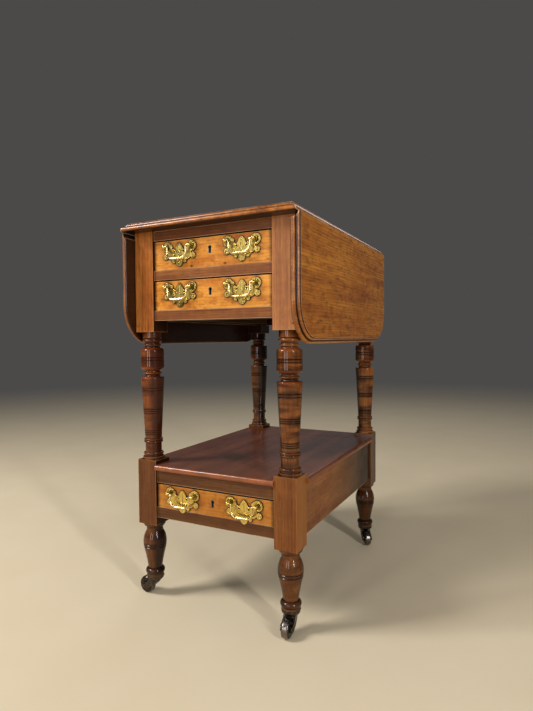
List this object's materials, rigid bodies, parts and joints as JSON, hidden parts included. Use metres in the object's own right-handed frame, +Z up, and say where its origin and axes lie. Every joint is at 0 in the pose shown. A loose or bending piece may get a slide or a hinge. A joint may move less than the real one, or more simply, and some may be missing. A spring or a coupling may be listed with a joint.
{
  "type": "drop leaf side table",
  "caption": "Small drop leaf side table with drawers above and below an open shelf, turned legs on castors and brass swan-neck pulls.",
  "frame": {"origin": "on the floor, under the middle of the top", "axes": "+Z up, -Y towards the user at the drawers' side, +X to the right as the user sees it"},
  "size_m": [0.376, 0.544, 0.734],
  "materials": {
    "top_wood": "French-polished mahogany, moulded edges",
    "leg_wood": "lathe-turned and polished mahogany",
    "case_wood": "polished mahogany",
    "shelf_wood": "French-polished mahogany, dark",
    "drawer_front_wood": "polished golden mahogany",
    "inner_wood": "planed, unpolished secondary wood",
    "brass": "cast, polished, tarnished in the hollows",
    "lock_iron": "dull, oiled",
    "hinge_iron": "dark, oiled",
    "castor_iron": "dark bronzed, worn",
    "castor_wheel": "dark bronzed, worn bright on the tread"
  },
  "bodies": {
    "frame": {"top_board": "top_wood", "leg_front_left": "leg_wood", "leg_front_right": "leg_wood", "leg_back_left": "leg_wood", "leg_back_right": "leg_wood", "upper_top_rail": "case_wood", "upper_middle_rail": "case_wood", "upper_bottom_rail": "case_wood", "lower_top_rail": "case_wood", "lower_bottom_rail": "case_wood", "upper_back": "case_wood", "lower_back": "case_wood", "upper_side_left": "case_wood", "upper_side_right": "case_wood", "lower_side_left": "case_wood", "lower_side_right": "case_wood", "shelf": "shelf_wood", "upper_runners": "inner_wood", "lower_runners": "inner_wood", "fly_rails": "inner_wood", "top_hinge_flaps": "hinge_iron", "hinge_pins": "hinge_iron", "fly_pins": "hinge_iron", "castor_sockets": "castor_iron"},
    "left_leaf": {"leaf_left": "top_wood", "leaf_left_hinge_flaps": "hinge_iron"},
    "right_leaf": {"leaf_right": "top_wood", "leaf_right_hinge_flaps": "hinge_iron"},
    "upper_drawer": {"upper_drawer_front": "drawer_front_wood", "upper_drawer_box": "inner_wood", "upper_drawer_bottom": "inner_wood", "upper_drawer_lock": "lock_iron", "upper_drawer_pulls": "brass"},
    "upper_left_bail": {"upper_drawer_bail_left": "brass"},
    "upper_right_bail": {"upper_drawer_bail_right": "brass"},
    "middle_drawer": {"middle_drawer_front": "drawer_front_wood", "middle_drawer_box": "inner_wood", "middle_drawer_bottom": "inner_wood", "middle_drawer_lock": "lock_iron", "middle_drawer_pulls": "brass"},
    "middle_left_bail": {"middle_drawer_bail_left": "brass"},
    "middle_right_bail": {"middle_drawer_bail_right": "brass"},
    "lower_drawer": {"lower_drawer_front": "drawer_front_wood", "lower_drawer_box": "inner_wood", "lower_drawer_bottom": "inner_wood", "lower_drawer_lock": "lock_iron", "lower_drawer_pulls": "brass"},
    "lower_left_bail": {"lower_drawer_bail_left": "brass"},
    "lower_right_bail": {"lower_drawer_bail_right": "brass"},
    "left_fly_bracket": {"fly_bracket_left": "inner_wood"},
    "right_fly_bracket": {"fly_bracket_right": "inner_wood"},
    "front_left_castor": {"castor_fork_front_left": "castor_iron"},
    "front_left_wheel": {"castor_wheel_front_left": "castor_wheel"},
    "front_right_castor": {"castor_fork_front_right": "castor_iron"},
    "front_right_wheel": {"castor_wheel_front_right": "castor_wheel"},
    "back_left_castor": {"castor_fork_back_left": "castor_iron"},
    "back_left_wheel": {"castor_wheel_back_left": "castor_wheel"},
    "back_right_castor": {"castor_fork_back_right": "castor_iron"},
    "back_right_wheel": {"castor_wheel_back_right": "castor_wheel"}
  },
  "joints": [
    {"name": "left_leaf_hinge", "type": "hinge", "parent": "frame", "child": "left_leaf", "pos_m": [-0.172, 0, 0.718], "axis": [0, 1, 0], "range_deg": [0, 90]},
    {"name": "right_leaf_hinge", "type": "hinge", "parent": "frame", "child": "right_leaf", "pos_m": [0.172, 0, 0.718], "axis": [0, -1, 0], "range_deg": [0, 90]},
    {"name": "upper_drawer_slide", "type": "slide", "parent": "frame", "child": "upper_drawer", "axis": [0, -1, 0], "range_m": [0, 0.33]},
    {"name": "upper_left_bail_lift", "type": "hinge", "parent": "upper_drawer", "child": "upper_left_bail", "pos_m": [-0.067, -0.2529, 0.6843], "axis": [-1, 0, 0], "range_deg": [0, 110]},
    {"name": "upper_right_bail_lift", "type": "hinge", "parent": "upper_drawer", "child": "upper_right_bail", "pos_m": [0.067, -0.2529, 0.6843], "axis": [-1, 0, 0], "range_deg": [0, 110]},
    {"name": "middle_drawer_slide", "type": "slide", "parent": "frame", "child": "middle_drawer", "axis": [0, -1, 0], "range_m": [0, 0.33]},
    {"name": "middle_left_bail_lift", "type": "hinge", "parent": "middle_drawer", "child": "middle_left_bail", "pos_m": [-0.067, -0.2529, 0.6089], "axis": [-1, 0, 0], "range_deg": [0, 110]},
    {"name": "middle_right_bail_lift", "type": "hinge", "parent": "middle_drawer", "child": "middle_right_bail", "pos_m": [0.067, -0.2529, 0.6089], "axis": [-1, 0, 0], "range_deg": [0, 110]},
    {"name": "lower_drawer_slide", "type": "slide", "parent": "frame", "child": "lower_drawer", "axis": [0, -1, 0], "range_m": [0, 0.33]},
    {"name": "lower_left_bail_lift", "type": "hinge", "parent": "lower_drawer", "child": "lower_left_bail", "pos_m": [-0.067, -0.2529, 0.2183], "axis": [-1, 0, 0], "range_deg": [0, 110]},
    {"name": "lower_right_bail_lift", "type": "hinge", "parent": "lower_drawer", "child": "lower_right_bail", "pos_m": [0.067, -0.2529, 0.2183], "axis": [-1, 0, 0], "range_deg": [0, 110]},
    {"name": "left_fly_bracket_swing", "type": "hinge", "parent": "frame", "child": "left_fly_bracket", "pos_m": [-0.1607, -0.06, 0.69], "axis": [0, 0, 1], "range_deg": [0, 2]},
    {"name": "right_fly_bracket_swing", "type": "hinge", "parent": "frame", "child": "right_fly_bracket", "pos_m": [0.1607, -0.06, 0.69], "axis": [0, 0, -1], "range_deg": [0, 2]},
    {"name": "front_left_castor_swivel", "type": "hinge", "parent": "frame", "child": "front_left_castor", "pos_m": [-0.1492, -0.2243, 0.035], "axis": [0, 0, 1], "continuous": true},
    {"name": "front_left_wheel_roll", "type": "hinge", "parent": "front_left_castor", "child": "front_left_wheel", "pos_m": [-0.17058, -0.22205, 0.0165], "axis": [-0.1045, -0.9945, 0], "continuous": true},
    {"name": "front_right_castor_swivel", "type": "hinge", "parent": "frame", "child": "front_right_castor", "pos_m": [0.1492, -0.2243, 0.035], "axis": [0, 0, 1], "continuous": true},
    {"name": "front_right_wheel_roll", "type": "hinge", "parent": "front_right_castor", "child": "front_right_wheel", "pos_m": [0.15145, -0.24568, 0.0165], "axis": [0.9945, 0.1045, 0], "continuous": true},
    {"name": "back_left_castor_swivel", "type": "hinge", "parent": "frame", "child": "back_left_castor", "pos_m": [-0.1492, 0.2243, 0.035], "axis": [0, 0, 1], "continuous": true},
    {"name": "back_left_wheel_roll", "type": "hinge", "parent": "back_left_castor", "child": "back_left_wheel", "pos_m": [-0.16244, 0.24124, 0.0165], "axis": [-0.788, -0.6157, 0], "continuous": true},
    {"name": "back_right_castor_swivel", "type": "hinge", "parent": "frame", "child": "back_right_castor", "pos_m": [0.1492, 0.2243, 0.035], "axis": [0, 0, 1], "continuous": true},
    {"name": "back_right_wheel_roll", "type": "hinge", "parent": "back_right_castor", "child": "back_right_wheel", "pos_m": [0.15995, 0.20568, 0.0165], "axis": [0.866, 0.5, 0], "continuous": true}
  ]
}
